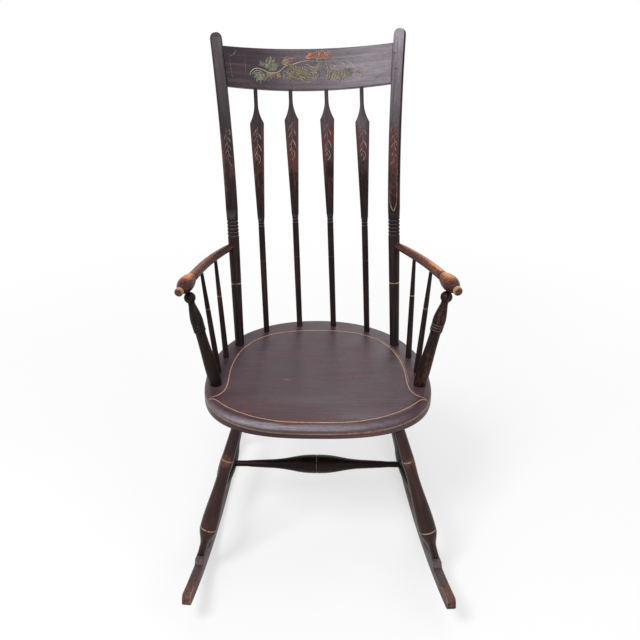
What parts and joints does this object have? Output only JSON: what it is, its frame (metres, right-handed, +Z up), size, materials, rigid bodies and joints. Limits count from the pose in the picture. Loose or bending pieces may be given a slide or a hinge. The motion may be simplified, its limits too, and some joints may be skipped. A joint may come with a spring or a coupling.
{
  "type": "arrow-back rocking armchair",
  "caption": "Painted wooden rocking armchair: plank seat, arrow-shaped back spindles under a bent crest rail, turned arms, splayed turned legs with stretchers, on two curved rockers.",
  "frame": {"origin": "on the floor, in the middle of the chair's width and of the rockers' length", "axes": "+Z up, the sitter faces -Y, +X to the right of someone who stands in front of the chair and looks at it"},
  "size_m": [0.5961, 0.7979, 1.0848],
  "materials": {
    "dark_paint": "satin dark brown graining paint, worn reddish at the edges",
    "seat_paint": "satin red-brown paint with thin ochre lines",
    "crest_paint": "satin dark brown paint with a muted gold leaf-and-fruit stencil",
    "worn_paint": "red-brown paint worn through to orange-tan wood",
    "rocker_paint": "worn dark brown paint"
  },
  "bodies": {
    "root": {"seat": "seat_paint", "crest_rail": "crest_paint", "arrow_spindle_1": "dark_paint", "arrow_spindle_2": "dark_paint", "arrow_spindle_3": "dark_paint", "arrow_spindle_4": "dark_paint", "stile_left": "dark_paint", "crest_peg_left": "dark_paint", "arm_left": "worn_paint", "arm_post_left": "dark_paint", "arm_spindle_rear_left": "dark_paint", "leg_rear_left": "dark_paint", "arm_spindle_front_left": "dark_paint", "leg_front_left": "dark_paint", "stretcher_side_left": "dark_paint", "rocker_left": "rocker_paint", "stile_right": "dark_paint", "crest_peg_right": "dark_paint", "arm_right": "worn_paint", "arm_post_right": "dark_paint", "arm_spindle_rear_right": "dark_paint", "leg_rear_right": "dark_paint", "arm_spindle_front_right": "dark_paint", "leg_front_right": "dark_paint", "stretcher_side_right": "dark_paint", "rocker_right": "rocker_paint", "stretcher_cross": "dark_paint"}
  },
  "joints": []
}
